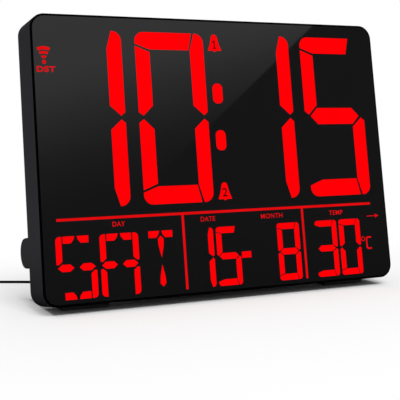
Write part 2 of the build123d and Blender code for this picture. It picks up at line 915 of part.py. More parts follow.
# Stand leg in its own plane, turned out from the back by the opening angle
hinge_point = side.from_local_coords((hinge_depth, pod_up, 0))
leg_side = Plane(
    origin=hinge_point,
    x_dir=(0, cos(leg_lean), sin(leg_lean)),
    z_dir=(1, 0, 0),
)
rib_end = leg_length * leg_rib_end_share
with BuildPart() as stand_leg:
    with BuildSketch(leg_side.offset(-leg_width / 2)):
        Circle(leg_barrel)
        with Locations((0, -leg_length / 2)):
            Rectangle(leg_thickness, leg_length)
    extrude(amount=leg_width)
    for share in leg_rib_shares:
        with BuildSketch(leg_side.offset(leg_width * share - leg_rib_width / 2)):
            with BuildLine():
                Polyline(
                    (0, 0),
                    (leg_thickness / 2 + leg_rib_height, -leg_barrel),
                    (leg_thickness / 2, -rib_end),
                    (0, -rib_end),
                    close=True,
                )
            make_face()
        extrude(amount=leg_rib_width)
    with BuildSketch(leg_side.offset(-leg_width / 2)):
        Circle(shaft_radius + leg_fit)
    extrude(amount=leg_width, mode=Mode.SUBTRACT)
keep(stand_leg, "stand_leg")

with BuildPart() as stand_pad:
    with BuildSketch(leg_side.offset(-pad_width / 2)):
        with Locations((0, -leg_length)):
            Circle(pad_radius)
        with Locations((0, -leg_length + pad_radius)):
            Rectangle(2 * pad_radius, 2 * pad_radius, mode=Mode.SUBTRACT)
    extrude(amount=pad_width)
keep(stand_pad, "stand_pad")


def floor_at(depth):
    return (depth * tilt_sine - front_height) / tilt_cosine


# Wedge feet: tops on the case, soles on the floor
foot_rear = case_depth - foot_rear_gap
foot_front = foot_rear - foot_depth
for name, start in (
    ("foot_left", -(case_width / 2 - foot_inset)),
    ("foot_right", case_width / 2 - foot_inset - foot_length),
):
    with BuildPart() as foot:
        with BuildSketch(side.offset(start)):
            with BuildLine():
                Polyline(
                    (foot_front, 0),
                    (foot_rear, 0),
                    (foot_rear, floor_at(foot_rear)),
                    (foot_front, floor_at(foot_front)),
                    close=True,
                )
            make_face()
        extrude(amount=foot_length)
    keep(foot, name)

# Plug in the jack and its grooved strain relief
plug_front = case_depth + plug_gap
plug_rear = plug_front + plug_length
relief_rear = plug_rear + relief_length
with BuildPart() as dc_plug:
    with BuildSketch(behind(plug_front)):
        with Locations(jack_place):
            Circle(plug_radius)
    extrude(amount=-plug_length)
    fillet(dc_plug.edges().filter_by(GeomType.CIRCLE), plug_edge)
    with BuildSketch(behind(plug_front)):
        with Locations(jack_place):
            Circle(plug_barrel)
            Circle(plug_barrel_bore, mode=Mode.SUBTRACT)
    extrude(amount=plug_barrel_length + plug_gap)
keep(dc_plug, "dc_plug")

with BuildPart() as plug_relief:
    with BuildSketch(behind(plug_rear)):
        with Locations(jack_place):
            Circle(relief_radius)
    with BuildSketch(behind(relief_rear)):
        with Locations(jack_place):
            Circle(relief_tip)
    loft()
    for place in range(relief_groove_count):
        groove_start = plug_rear + relief_groove_pitch * (place + 1)
        groove_share = relief_groove_pitch * (place + 1) / relief_length
        neck = relief_radius + (relief_tip - relief_radius) * groove_share - relief_groove
        with BuildSketch(behind(groove_start)):
            with Locations(jack_place):
                Circle(relief_radius + overrun)
                Circle(neck, mode=Mode.SUBTRACT)
        extrude(amount=-relief_groove_width, mode=Mode.SUBTRACT)
keep(plug_relief, "plug_relief")

# Cord route, from the relief down to the floor and out to the coil
coil_base = tie_thickness + tie_gap + cord_radius
cord_exit = front.from_local_coords((jack_across, jack_up, -relief_rear))
exit_heading = Vector(0, tilt_cosine, -tilt_sine)
corners = list(air_route)
corners += [(across, back, cord_radius + floor_gap) for across, back in floor_route]
corners += [(across, back, coil_base) for across, back in coil_route]
route = [cord_exit, cord_exit + exit_heading * first_run]
for across, back, height in corners:
    route.append(Vector(cord_exit.X + across, cord_exit.Y + back, height))
bend_radii = []
for before, corner, after in zip(route, route[1:], route[2:]):
    shorter = min((corner - before).length, (after - corner).length)
    half_turn = radians((corner - before).get_angle(after - corner)) / 2
    bend_radii.append(bend_share * shorter / tan(half_turn))
print("bend radii", [round(radius, 1) for radius in bend_radii])

with BuildPart() as power_cord:
    with BuildLine() as cord_path:
        FilletPolyline(*route, radius=bend_radii)
    with BuildSketch(Plane(origin=route[0], z_dir=route[1] - route[0])):
        Circle(cord_radius)
    sweep(path=cord_path.line)
cord_length = cord_path.wire().length
print("cord volume over section times length", power_cord.part.volume / (pi * cord_radius**2 * cord_length))
keep(power_cord, "power_cord")

# Put-away coil: spirals in on the lower layer, climbs, and spirals out on the upper one
coil_outer = coil_middle_radius + coil_step * coil_turns / 2
coil_inner = coil_middle_radius - coil_step * coil_turns / 2
coil_end = 2 * coil_turns + climb_turns
entry_run = (route[-1] - route[-2]).normalized()
coil_start = route[-1] + entry_run * 2 * cord_radius
entry_angle = atan2(entry_run.Y, entry_run.X) - pi / 2 - atan2(coil_step, 2 * pi * coil_outer)
coil_centre = coil_start - Vector(cos(entry_angle), sin(entry_angle)) * coil_outer


def coil_point(turn):
    climb = min(max((turn - coil_turns) / climb_turns, 0), 1)
    if turn < coil_turns:
        radius = coil_outer - coil_step * turn
    elif climb < 1:
        radius = coil_inner - coil_step * climb_turns * (climb - climb**2)
    else:
        radius = coil_inner + coil_step * (turn - coil_turns - climb_turns)
    angle = entry_angle + 2 * pi * turn
    rise = coil_rise * (3 * climb**2 - 2 * climb**3)
    return coil_centre + Vector(radius * cos(angle), radius * sin(angle), rise)


turn_step = 1e-4


def coil_heading(turn):
    return (coil_point(turn + turn_step) - coil_point(turn - turn_step)).normalized()


quarter_count = ceil(coil_end * 4)
knots = [coil_end * place / quarter_count for place in range(quarter_count + 1)]
tail_end = coil_point(coil_end) + coil_heading(coil_end) * 2 * cord_radius
with BuildPart() as cord_coil:
    with BuildLine() as coil_path:
        Line(route[-1], coil_start)
        for first, last in zip(knots, knots[1:]):
            start = coil_point(first)
            finish = coil_point(last)
            start_heading = coil_heading(first)
            finish_heading = coil_heading(last)
            chord = finish - start
            lean = chord.dot(start_heading + finish_heading)
            spread = 2 * (1 - start_heading.dot(finish_heading))
            reach = ((lean**2 + spread * chord.dot(chord)) ** 0.5 - lean) / spread
            join = (start + finish + (start_heading - finish_heading) * reach) / 2
            TangentArc(start, join, tangent=start_heading)
            TangentArc(join, finish, tangent=finish - finish_heading * reach - start - start_heading * reach)
        Line(coil_point(coil_end), tail_end)
    with BuildSketch(Plane(origin=route[-1], z_dir=entry_run)):
        Circle(cord_radius)
    sweep(path=coil_path.line)
coil_length = coil_path.wire().length
print("coil volume over section times length", cord_coil.part.volume / (pi * cord_radius**2 * coil_length))
print("cord length in all", cord_length + coil_length)
keep(cord_coil, "cord_coil")

points_per_turn = 60
samples = [coil_point(place / points_per_turn) for place in range(int(coil_end * points_per_turn) + 1)]
least_gap = min(
    (samples[later] - samples[earlier]).length
    for earlier in range(len(samples))
    for later in range(earlier + points_per_turn // 2, len(samples))
) - 2 * cord_radius
print("least gap of the coil to itself", least_gap)

# Tie round the turns of the coil
tie_angle = entry_angle + 2 * pi * tie_turn
tie_radial = Vector(cos(tie_angle), sin(tie_angle))
tie_hole = coil_inner - coil_step * climb_turns / 4 - cord_radius
tie_inner = (tie_hole**2 - (tie_width / 2) ** 2) ** 0.5 - tie_gap
tie_outer = coil_outer + cord_radius + tie_gap
tie_span = tie_outer - tie_inner
tie_tall = coil_rise + 2 * cord_radius + 2 * tie_gap
tie_middle = coil_centre + tie_radial * ((tie_inner + tie_outer) / 2) + Vector(0, 0, coil_rise / 2)
tie_plane = Plane(origin=tie_middle, x_dir=tie_radial, z_dir=tie_radial.cross(Vector(0, 0, 1)))
with BuildPart() as cord_tie:
    with BuildSketch(tie_plane.offset(-tie_width / 2)):
        Rectangle(tie_span + 2 * tie_thickness, tie_tall + 2 * tie_thickness)
        Rectangle(tie_span, tie_tall, mode=Mode.SUBTRACT)
    extrude(amount=tie_width)
keep(cord_tie, "cord_tie")

# Far plug lying beside the coil, with its own relief and metal shell
usb_heading = coil_heading(coil_end)
usb_height = 2 * tail_end.Z
usb_plane = Plane(origin=tail_end, x_dir=usb_heading.cross(Vector(0, 0, 1)), z_dir=usb_heading)
with BuildPart() as usb_plug:
    with BuildSketch(usb_plane.offset(usb_relief_length)):
        Rectangle(usb_width, usb_height)
    extrude(amount=usb_length)
    fillet(usb_plug.edges().filter_by(Axis(tail_end, usb_heading)), usb_edge)
    with BuildSketch(usb_plane):
        Circle(usb_relief_tip)
    with BuildSketch(usb_plane.offset(usb_relief_length)):
        Circle(usb_relief_radius)
    loft()
keep(usb_plug, "usb_plug")

with BuildPart() as usb_shell:
    with BuildSketch(usb_plane.offset(usb_relief_length + usb_length)):
        Rectangle(shell_width, shell_height)
        with Locations((0, (shell_height - 2 * shell_wall - tongue_height) / 4)):
            Rectangle(shell_width - 2 * shell_wall, shell_height - 2 * shell_wall - tongue_height,
                      mode=Mode.SUBTRACT)
    extrude(amount=shell_length)
keep(usb_shell, "usb_shell")

print("hinge", hinge_point, "door", front.from_local_coords((*door_place, -case_depth)))
print("keyholes", [front.from_local_coords((*place, -case_depth)) for place in keyhole_places])
print("cord exit", cord_exit, "coil centre", coil_centre)
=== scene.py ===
import bpy
import bmesh
import json
import math
from mathutils import Matrix, Vector


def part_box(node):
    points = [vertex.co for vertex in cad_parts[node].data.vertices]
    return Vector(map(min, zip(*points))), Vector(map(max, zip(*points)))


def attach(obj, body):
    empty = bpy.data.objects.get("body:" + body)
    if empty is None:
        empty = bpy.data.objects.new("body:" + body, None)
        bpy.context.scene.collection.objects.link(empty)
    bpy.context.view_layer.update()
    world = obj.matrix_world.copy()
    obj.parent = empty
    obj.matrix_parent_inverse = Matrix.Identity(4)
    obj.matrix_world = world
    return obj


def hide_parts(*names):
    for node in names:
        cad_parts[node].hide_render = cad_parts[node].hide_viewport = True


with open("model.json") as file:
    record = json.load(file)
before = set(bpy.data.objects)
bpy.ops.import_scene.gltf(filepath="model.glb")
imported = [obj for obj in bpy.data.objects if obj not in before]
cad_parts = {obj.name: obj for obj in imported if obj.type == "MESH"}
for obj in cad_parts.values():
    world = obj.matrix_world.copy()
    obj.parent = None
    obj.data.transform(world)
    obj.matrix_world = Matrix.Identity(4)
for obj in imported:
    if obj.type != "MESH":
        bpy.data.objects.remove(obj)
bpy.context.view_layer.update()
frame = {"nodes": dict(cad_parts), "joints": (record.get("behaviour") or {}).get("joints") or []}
nodes = frame["nodes"]
mm = 0.001
print("frame loaded:", len(nodes), "nodes")

# the display face: the push buttons travel along its normal
facing = Vector(next(j["axis"] for j in frame["joints"] if j["name"] == "set_press")).normalized()
across = Vector((1, 0, 0))
upward = facing.cross(across)
housingPoints = [v.co for v in nodes["front_housing"].data.vertices]
faceLevel = max(p.dot(facing) for p in housingPoints)
faceTop = max(p.dot(upward) for p in housingPoints)
faceBottom = min(p.dot(upward) for p in housingPoints)
backLevel = min(p.dot(facing) for p in housingPoints)
faceLeft = min(p.x for p in housingPoints)


# a point on the face: mm from its left edge, mm down from its top edge, mm proud of it
def facePoint(x, y, proud=0.0):
    return across * (faceLeft + x * mm) + upward * (faceTop - y * mm) + facing * (faceLevel + proud * mm)


# a frame whose x runs right, y up and z out of the face, in mm
def faceFrame(x=0.0, y=0.0, proud=0.0):
    turn = Matrix((across, upward, facing)).transposed().to_4x4()
    return Matrix.Translation(facePoint(x, y, proud)) @ turn @ Matrix.Scale(mm, 4)


# the same on the back, where x runs right for someone who stands behind
def backFrame(x=0.0, up=0.0, proud=0.0):
    turn = Matrix((-across, upward, -facing)).transposed().to_4x4()
    place = -across * x * mm + upward * (faceBottom + up * mm) + facing * (backLevel - proud * mm)
    return Matrix.Translation(place) @ turn @ Matrix.Scale(mm, 4)


# camera: fitted to the photograph's vanishing lines
camera = {
    "place": (-0.44443, -0.88413, 0.19272),
    "forward": (0.43636, 0.89931, -0.028885),
    "focalPixels": 982.89,
    "framePixels": 400,
    "horizonPixel": 130,
    "sensor": 36.0,
}
cameraData = bpy.data.cameras.new("camera")
cameraData.sensor_width = camera["sensor"]
cameraData.lens = camera["focalPixels"] / camera["framePixels"] * camera["sensor"]
cameraData.shift_y = (camera["horizonPixel"] - camera["framePixels"] / 2) / camera["framePixels"]
cameraObject = bpy.data.objects.new("camera", cameraData)
cameraObject.location = camera["place"]
cameraObject.rotation_euler = Vector(camera["forward"]).to_track_quat("-Z", "Y").to_euler()
bpy.context.scene.collection.objects.link(cameraObject)
bpy.context.scene.camera = cameraObject
print("camera set")


def linear(hexColour):
    parts = [int(hexColour[i:i + 2], 16) / 255 for i in (1, 3, 5)]
    curved = [p / 12.92 if p <= 0.04045 else ((p + 0.055) / 1.055) ** 2.4 for p in parts]
    return (*curved, 1.0)


# one node, its settings and what goes into it: a value, or a socket to link
def addNode(tree, kind, settings=None, inputs=None):
    made = tree.nodes.new(kind)
    for name, value in (settings or {}).items():
        setattr(made, name, value)
    for name, value in (inputs or {}).items():
        if isinstance(value, bpy.types.NodeSocket):
            tree.links.new(value, made.inputs[name])
        else:
            made.inputs[name].default_value = value
    return made


def newMaterial(name):
    material = bpy.data.materials.new(name)
    material.use_nodes = True
    material.node_tree.nodes.clear()
    return material, material.node_tree


def closeMaterial(tree, shader):
    addNode(tree, "ShaderNodeOutputMaterial", None, {"Surface": shader.outputs[0]})


# a pattern repeats once every so many mm: its scale in metres
def perMm(size):
    return 1.0 / (size * mm)


# moulded ABS: fine spark-eroded grain, satin, a little uneven where the mould was polished
def mouldedAbs(name, hexColour, hexPale, grain=0.9, roughness=0.48, depth=0.12, gloss=0.5, hexRim=None,
               cloudSize=38.0):
    material, tree = newMaterial(name)
    place = addNode(tree, "ShaderNodeTexCoord")
    cloud = addNode(tree, "ShaderNodeTexNoise", None,
                    {"Vector": place.outputs["Object"], "Scale": perMm(cloudSize), "Detail": 3.0})
    speck = addNode(tree, "ShaderNodeTexNoise", None,
                    {"Vector": place.outputs["Object"], "Scale": perMm(grain), "Detail": 2.0})
    colour = addNode(tree, "ShaderNodeMix", {"data_type": "RGBA"})
    colour.inputs[6].default_value = linear(hexColour)
    colour.inputs[7].default_value = linear(hexPale)
    tree.links.new(cloud.outputs["Fac"], colour.inputs[0])
    rough = addNode(tree, "ShaderNodeMapRange", None,
                    {"Value": speck.outputs["Fac"], "To Min": roughness - 0.07, "To Max": roughness + 0.09})
    bump = addNode(tree, "ShaderNodeBump", None,
                   {"Height": speck.outputs["Fac"], "Strength": depth, "Distance": 0.05 * mm})
    shader = addNode(tree, "ShaderNodeBsdfPrincipled", None, {
        "Base Color": colour.outputs[2], "Roughness": rough.outputs["Result"], "IOR": 1.53,
        "Specular IOR Level": gloss, "Normal": bump.outputs["Normal"]})
    # faces turned to the front take the rim colour, all other faces the base colour
    if hexRim:
        ahead = addNode(tree, "ShaderNodeVectorMath", {"operation": "DOT_PRODUCT"},
                        {0: place.outputs["Normal"], 1: facing})
        front = addNode(tree, "ShaderNodeMapRange", None,
                        {"Value": ahead.outputs["Value"], "From Min": 0.3, "From Max": 0.6})
        rim = addNode(tree, "ShaderNodeMix", {"data_type": "RGBA"})
        rim.inputs[7].default_value = linear(hexRim)
        tree.links.new(front.outputs["Result"], rim.inputs[0])
        tree.links.new(colour.outputs[2], rim.inputs[6])
        tree.links.new(rim.outputs[2], shader.inputs["Base Color"])
    closeMaterial(tree, shader)
    return material


# cast acrylic, back-painted black: mirror-smooth, with a faint wipe haze
def glossAcrylic(name, hexColour, hazeSize=60.0):
    material, tree = newMaterial(name)
    place = addNode(tree, "ShaderNodeTexCoord")
    haze = addNode(tree, "ShaderNodeTexNoise", None,
                   {"Vector": place.outputs["Object"], "Scale": perMm(hazeSize), "Detail": 4.0})
    rough = addNode(tree, "ShaderNodeMapRange", None,
                    {"Value": haze.outputs["Fac"], "To Min": 0.015, "To Max": 0.04})
    shader = addNode(tree, "ShaderNodeBsdfPrincipled", None, {
        "Base Color": linear(hexColour), "Roughness": rough.outputs["Result"], "IOR": 1.49})
    closeMaterial(tree, shader)
    return material


# red diffuser acrylic, lit from behind: even glow with a soft cloud from the lamps under it
def litDiffuser(name, hexGlow, hexBody, low, high, cloudSize):
    material, tree = newMaterial(name)
    place = addNode(tree, "ShaderNodeTexCoord")
    cloud = addNode(tree, "ShaderNodeTexNoise", None,
                    {"Vector": place.outputs["Object"], "Scale": perMm(cloudSize), "Detail": 1.0})
    glow = addNode(tree, "ShaderNodeMapRange", None,
                   {"Value": cloud.outputs["Fac"], "From Min": 0.3, "From Max": 0.7,
                    "To Min": low, "To Max": high})
    shader = addNode(tree, "ShaderNodeBsdfPrincipled", None, {
        "Base Color": linear(hexBody), "Roughness": 0.6, "Specular IOR Level": 0.0,
        "Emission Color": linear(hexGlow), "Emission Strength": glow.outputs["Result"]})
    closeMaterial(tree, shader)
    return material


# soft rubber or PVC: dark, with a dull sheen and a fine grain
def softRubber(name, hexColour, grain=0.6, roughness=0.6, depth=0.2, gloss=0.5):
    material, tree = newMaterial(name)
    place = addNode(tree, "ShaderNodeTexCoord")
    speck = addNode(tree, "ShaderNodeTexNoise", None,
                    {"Vector": place.outputs["Object"], "Scale": perMm(grain), "Detail": 3.0})
    rough = addNode(tree, "ShaderNodeMapRange", None,
                    {"Value": speck.outputs["Fac"], "To Min": roughness - 0.12, "To Max": roughness + 0.12})
    bump = addNode(tree, "ShaderNodeBump", None,
                   {"Height": speck.outputs["Fac"], "Strength": depth, "Distance": 0.04 * mm})
    shader = addNode(tree, "ShaderNodeBsdfPrincipled", None, {
        "Base Color": linear(hexColour), "Roughness": rough.outputs["Result"], "IOR": 1.5,
        "Specular IOR Level": gloss, "Normal": bump.outputs["Normal"]})
    closeMaterial(tree, shader)
    return material


# drawn or turned steel: fine lines along one way, in the roughness and the bump
def drawnSteel(name, hexColour, lineWay, roughness=0.3, lineSize=0.5):
    material, tree = newMaterial(name)
    place = addNode(tree, "ShaderNodeTexCoord")
    stretch = addNode(tree, "ShaderNodeMapping", None,
                      {"Vector": place.outputs["Object"], "Scale": lineWay})
    lines = addNode(tree, "ShaderNodeTexNoise", None,
                    {"Vector": stretch.outputs["Vector"], "Scale": perMm(lineSize), "Detail": 3.0})
    rough = addNode(tree, "ShaderNodeMapRange", None,
                    {"Value": lines.outputs["Fac"], "To Min": roughness - 0.08, "To Max": roughness + 0.12})
    bump = addNode(tree, "ShaderNodeBump", None,
                   {"Height": lines.outputs["Fac"], "Strength": 0.15, "Distance": 0.02 * mm})
    shader = addNode(tree, "ShaderNodeBsdfPrincipled", None, {
        "Base Color": linear(hexColour), "Metallic": 1.0, "Roughness": rough.outputs["Result"],
        "Normal": bump.outputs["Normal"]})
    closeMaterial(tree, shader)
    return material


# screen ink: a thin even coat with a slight tooth
def screenInk(name, hexColour, gloss=0.5, toothSize=0.3):
    material, tree = newMaterial(name)
    place = addNode(tree, "ShaderNodeTexCoord")
    tooth = addNode(tree, "ShaderNodeTexNoise", None,
                    {"Vector": place.outputs["Object"], "Scale": perMm(toothSize), "Detail": 2.0})
    rough = addNode(tree, "ShaderNodeMapRange", None,
                    {"Value": tooth.outputs["Fac"], "To Min": 0.45, "To Max": 0.65})
    shader = addNode(tree, "ShaderNodeBsdfPrincipled", None, {
        "Base Color": linear(hexColour), "Roughness": rough.outputs["Result"], "IOR": 1.5,
        "Specular IOR Level": gloss})
    closeMaterial(tree, shader)
    return material


# woven strap: two sets of threads that cross
def wovenStrap(name, hexColour, thread=0.5):
    material, tree = newMaterial(name)
    place = addNode(tree, "ShaderNodeTexCoord")
    warp = addNode(tree, "ShaderNodeTexWave", {"bands_direction": "X"},
                   {"Vector": place.outputs["Object"], "Scale": perMm(thread) / 20, "Distortion": 0.6})
    weft = addNode(tree, "ShaderNodeTexWave", {"bands_direction": "Z"},
                   {"Vector": place.outputs["Object"], "Scale": perMm(thread) / 20, "Distortion": 0.6})
    cross = addNode(tree, "ShaderNodeMath", {"operation": "MULTIPLY"},
                    {0: warp.outputs["Fac"], 1: weft.outputs["Fac"]})
    bump = addNode(tree, "ShaderNodeBump", None,
                   {"Height": cross.outputs[0], "Strength": 0.5, "Distance": 0.1 * mm})
    shader = addNode(tree, "ShaderNodeBsdfPrincipled", None, {
        "Base Color": linear(hexColour), "Roughness": 0.85, "Sheen Weight": 0.3,
        "Normal": bump.outputs["Normal"]})
    closeMaterial(tree, shader)
    return material


finishes = {
    # case: the grey of the walls is lighter than the black plastic, a painted sheen in place of gloss, which
    # is set almost to nothing; faces turned to the front keep the near-black rim colour
    "caseAbsPaintedSheen": mouldedAbs("caseAbsPaintedSheen", "#343437", "#38383b", gloss=0.006, hexRim="#010101"),
    "coverAbs": mouldedAbs("coverAbs", "#232326", "#2a2a2d", grain=1.2, roughness=0.52, depth=0.25,
                           gloss=0.4),
    "buttonAbs": mouldedAbs("buttonAbs", "#47474c", "#4e4e53", grain=0.6, roughness=0.4, depth=0.08),
    "panelAcrylic": glossAcrylic("panelAcrylic", "#171718"),
    "barDiffuser": litDiffuser("barDiffuser", "#ff0006", "#240000", 0.96, 1.02, 26.0),
    "lineDiffuser": litDiffuser("lineDiffuser", "#ea0c10", "#240000", 0.84, 0.96, 18.0),
    "footRubber": softRubber("footRubber", "#141414"),
    "cordPvc": softRubber("cordPvc", "#080809", grain=0.8, roughness=0.45, depth=0.1, gloss=0.06),
    "plugPvc": softRubber("plugPvc", "#131314", grain=0.7, roughness=0.5, depth=0.15),
    "shaftSteel": drawnSteel("shaftSteel", "#a8a9ad", (0.05, 1, 1)),
    "screwSteel": drawnSteel("screwSteel", "#55565a", (1, 1, 1), roughness=0.38),
    "shellNickel": drawnSteel("shellNickel", "#c6c7c9", (1, 0.05, 1), roughness=0.22),
    "boardResin": mouldedAbs("boardResin", "#0f4a26", "#14552d", grain=1.0, roughness=0.4),
    "partResin": mouldedAbs("partResin", "#161617", "#1c1c1d", grain=0.5, roughness=0.5),
    "whiteResin": mouldedAbs("whiteResin", "#ececea", "#f4f4f2", grain=0.8, roughness=0.5),
    "tapeFoam": softRubber("tapeFoam", "#101010", grain=0.4, roughness=0.8),
    "strapWoven": wovenStrap("strapWoven", "#151516"),
    "legendInk": screenInk("legendInk", "#c9c9cc"),
    # dark mask ink for the bell numbers, also used as painted shade for the cross recesses of the back screws
    "maskInkAndRecessShade": screenInk("maskInkAndRecessShade", "#180204", gloss=0.0),
}
nodeFinish = {
    "caseAbsPaintedSheen": ["front_housing", "hinge_pod_left", "hinge_pod_right"],
    "coverAbs": ["rear_cover", "stand_leg", "battery_door"],
    "buttonAbs": ["set_button", "up_button", "down_button", "alarm_button", "dimmer_button"],
    "panelAcrylic": ["front_panel"],
    "barDiffuser": ["hour_segments", "minute_segments", "colon_segments", "weekday_segments",
                    "date_segments", "temperature_segments"],
    "lineDiffuser": ["divider_bars"],
    "footRubber": ["foot_left", "foot_right", "stand_pad"],
    "cordPvc": ["power_cord", "cord_coil", "plug_relief"],
    "plugPvc": ["dc_plug", "usb_plug"],
    "shaftSteel": ["stand_shaft"],
    "screwSteel": ["cover_screws", "board_screws", "display_screws", "pod_screws"],
    "shellNickel": ["usb_shell", "coin_cell", "radio_module", "timing_crystal", "supply_capacitor"],
    "boardResin": ["led_board", "main_board"],
    "partResin": ["controller_chip", "buzzer", "tact_switches", "cell_cup", "dc_jack", "ribbon_headers",
                  "temperature_sensor"],
    "whiteResin": ["diffuser_film", "light_reflector", "leds", "ribbon_cable"],
    "tapeFoam": ["panel_tape"],
    "strapWoven": ["cord_tie"],
}
for finish, names in nodeFinish.items():
    for name in names:
        nodes[name].data.materials.clear()
        nodes[name].data.materials.append(finishes[finish])
print("finishes on", sum(len(names) for names in nodeFinish.values()), "nodes")


def arc(cx, cy, radius, fromAngle, toAngle, count=16):
    return [(cx + radius * math.cos(math.radians(fromAngle + (toAngle - fromAngle) * i / count)),
             cy + radius * math.sin(math.radians(fromAngle + (toAngle - fromAngle) * i / count)))
            for i in range(count + 1)]


def arcBand(cx, cy, radius, width, fromAngle, toAngle):
    outer = arc(cx, cy, radius + width / 2, fromAngle, toAngle)
    return outer + arc(cx, cy, radius - width / 2, toAngle, fromAngle)


# lead: one smooth line through the route's points, then the turns of the put-away coil
lead = {
    "diameter": 2.8,
    "length": 1125.6,
    "exit": (-120.0, 29.5454, 18.8682),
    "route": [
        (-120.0, 29.5454, 18.8682),
        (-120.0, 43.3654, 16.6299),
        (-120.6, 61.5454, 8.6),
        (-121.5, 79.0454, 2.5),
        (-122.5, 95.0454, 1.7),
        (-129.0, 110.0454, 1.7),
        (-148.5, 124.2454, 1.7),
        (-190.0, 142.9454, 1.97),
        (-212.6, 151.1454, 1.97),
    ],
    "coilMiddle": 16.5,
    "coilStep": 3.45,
    "coilRise": 3.45,
    "coilTurns": 4.41,
    "climbTurns": 0.5,
    "pointsPerTurn": 20,
}


# centre, angle of the first point, outer and inner radius of the coil
def coilLayout(spec):
    last, before = Vector(spec["route"][-1]), Vector(spec["route"][-2])
    run = (last - before).normalized()
    start = last + run * spec["diameter"]
    outer = spec["coilMiddle"] + spec["coilStep"] * spec["coilTurns"] / 2
    inner = spec["coilMiddle"] - spec["coilStep"] * spec["coilTurns"] / 2
    entry = math.atan2(run.y, run.x) - math.pi / 2 - math.atan2(spec["coilStep"], 2 * math.pi * outer)
    return start, start - Vector((math.cos(entry), math.sin(entry), 0)) * outer, entry, outer, inner


def coilPoints(spec):
    start, centre, entry, outer, inner = coilLayout(spec)
    end = 2 * spec["coilTurns"] + spec["climbTurns"]
    steps = math.ceil(end * spec["pointsPerTurn"])
    swell = 1 / math.cos(math.pi / spec["pointsPerTurn"])  # the spline runs inside its corners

    def at(turn, swollen):
        climb = min(max((turn - spec["coilTurns"]) / spec["climbTurns"], 0), 1)
        if turn < spec["coilTurns"]:
            radius = outer - spec["coilStep"] * turn
        elif climb < 1:
            radius = inner - spec["coilStep"] * spec["climbTurns"] * (climb - climb ** 2)
        else:
            radius = inner + spec["coilStep"] * (turn - spec["coilTurns"] - spec["climbTurns"])
        angle = entry + 2 * math.pi * turn
        rise = spec["coilRise"] * (3 * climb ** 2 - 2 * climb ** 3)
        spoke = Vector((math.cos(angle), math.sin(angle), 0))
        return centre + spoke * radius * swollen + Vector((0, 0, rise))

    points = [at((step + 0.5) * end / steps, swell) for step in range(steps)]
    finish = at(end, 1.0)
    heading = (at(end, 1.0) - at(end - 0.001, 1.0)).normalized()
    return [start] + points + [finish, finish + heading * spec["diameter"]]


leadCurve = bpy.data.curves.new("power_lead", "CURVE")
leadCurve.dimensions = "3D"
leadCurve.bevel_depth = lead["diameter"] / 2 * mm
leadCurve.bevel_resolution = 4
leadCurve.resolution_u = 8
leadCurve.use_fill_caps = True
leadPoints = [Vector(p) for p in lead["route"]] + coilPoints(lead)
leadSpline = leadCurve.splines.new("NURBS")
leadSpline.points.add(len(leadPoints) - 1)
for point, place in zip(leadSpline.points, leadPoints):
    point.co = (*(place * mm), 1.0)
leadSpline.order_u = 3
leadSpline.use_endpoint_u = True
leadCurve.materials.append(finishes["cordPvc"])
leadObject = bpy.data.objects.new("power_lead", leadCurve)
bpy.context.scene.collection.objects.link(leadObject)
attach(leadObject, "case")
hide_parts("power_cord", "cord_coil")

# hook-and-loop strap round the coil: one band that goes round and closes over its own end
strap = {
    "turn": 0.62,
    "gap": 0.12,
    "thickness": 0.45,
    "width": 8.0,
    "corner": 1.5,
    "overlap": 9.0,
    "ramp": [(-5.5, 0.0), (-3.0, 0.5), (-1.0, 1.0)],
    "section": [(-0.5, -0.25), (-0.5, 0.25), (-0.475, 0.5), (-0.24, 0.4), (0.24, 0.4), (0.475, 0.5),
                (0.5, 0.25), (0.5, -0.25), (0.475, -0.5), (-0.475, -0.5)],
}


def strapMesh(name, spec, coil):
    start, centre, entry, outer, inner = coilLayout(coil)
    radius = coil["diameter"] / 2
    angle = entry + 2 * math.pi * spec["turn"]
    outward = Vector((math.cos(angle), math.sin(angle), 0))
    upright = Vector((0, 0, 1))
    side = outward.cross(upright)
    hole = inner - coil["coilStep"] * coil["climbTurns"] / 4 - radius
    half = spec["thickness"] / 2
    near = math.sqrt(hole ** 2 - (spec["width"] / 2) ** 2) - spec["gap"] - half
    far = outer + radius + spec["gap"] + half
    low = -radius - spec["gap"] - half
    high = coil["coilRise"] + radius + spec["gap"] + half
    bend = spec["corner"]
    middle = (near + far) / 2
    path = [(middle, high)]
    for x, y, fromAngle in ((far - bend, high - bend, 90), (far - bend, low + bend, 0),
                            (near + bend, low + bend, -90), (near + bend, high - bend, -180)):
        path += arc(x, y, bend, fromAngle, fromAngle - 90, 6)
    lift = spec["thickness"]
    path += [(middle + along, high + lift * share) for along, share in spec["ramp"]]
    path.append((middle + spec["overlap"] / 2, high + lift))
    mesh = bmesh.new()
    rings = []
    for i, (x, y) in enumerate(path):
        (x0, y0), (x1, y1) = path[max(i - 1, 0)], path[min(i + 1, len(path) - 1)]
        length = math.hypot(x1 - x0, y1 - y0)
        normal = outward * (-(y1 - y0) / length) + upright * ((x1 - x0) / length)
        spot = centre + outward * x + upright * y
        ring = [spot + side * a * spec["width"] + normal * t * spec["thickness"] for a, t in spec["section"]]
        rings.append([mesh.verts.new(corner * mm) for corner in ring])
    count = len(spec["section"])
    for first, second in zip(rings, rings[1:]):
        for i in range(count):
            mesh.faces.new((first[i], first[(i + 1) % count], second[(i + 1) % count], second[i]))
    mesh.faces.new(rings[0][::-1])
    mesh.faces.new(rings[-1])
    bmesh.ops.recalc_face_normals(mesh, faces=mesh.faces[:])
    made = bpy.data.meshes.new(name)
    mesh.to_mesh(made)
    mesh.free()
    made.materials.append(finishes["strapWoven"])
    return made


strapObject = bpy.data.objects.new("coil_strap", strapMesh("coil_strap", strap, lead))
bpy.context.scene.collection.objects.link(strapObject)
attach(strapObject, "case")
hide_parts("cord_tie")
print("lead laid:", len(leadPoints), "points")


